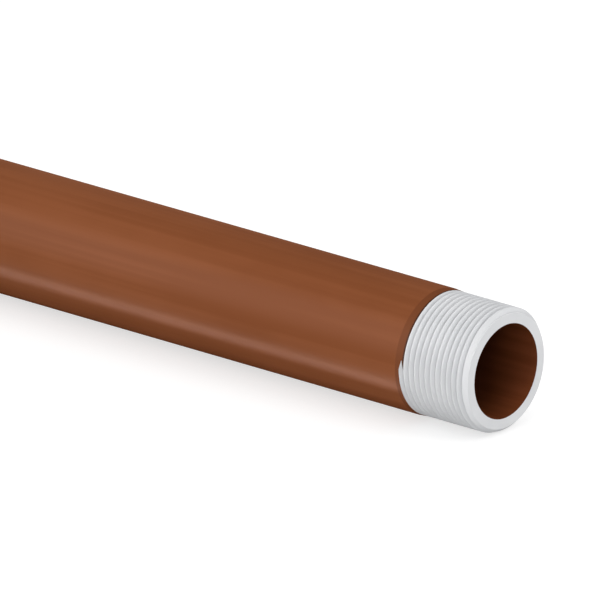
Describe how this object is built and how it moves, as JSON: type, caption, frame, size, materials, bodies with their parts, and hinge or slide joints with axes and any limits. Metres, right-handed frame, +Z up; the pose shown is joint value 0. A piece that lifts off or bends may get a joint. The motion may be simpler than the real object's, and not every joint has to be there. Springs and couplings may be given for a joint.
{
  "type": "threaded polypropylene pipe",
  "caption": "Straight polypropylene pipe, brown outside and in the bore, with a white core that shows where a male thread is cut at the end.",
  "frame": {"origin": "on the pipe's axis, in the face of the threaded end", "axes": "+X along the axis, out of the threaded end; +Z up as the pipe lies on the floor"},
  "size_m": [1, 0.0422, 0.042],
  "materials": {
    "brown_skin": "satin",
    "white_core": "satin",
    "brown_liner": "satin"
  },
  "bodies": {
    "root": {"outer_skin": "brown_skin", "white_core": "white_core", "inner_liner": "brown_liner"}
  },
  "joints": []
}
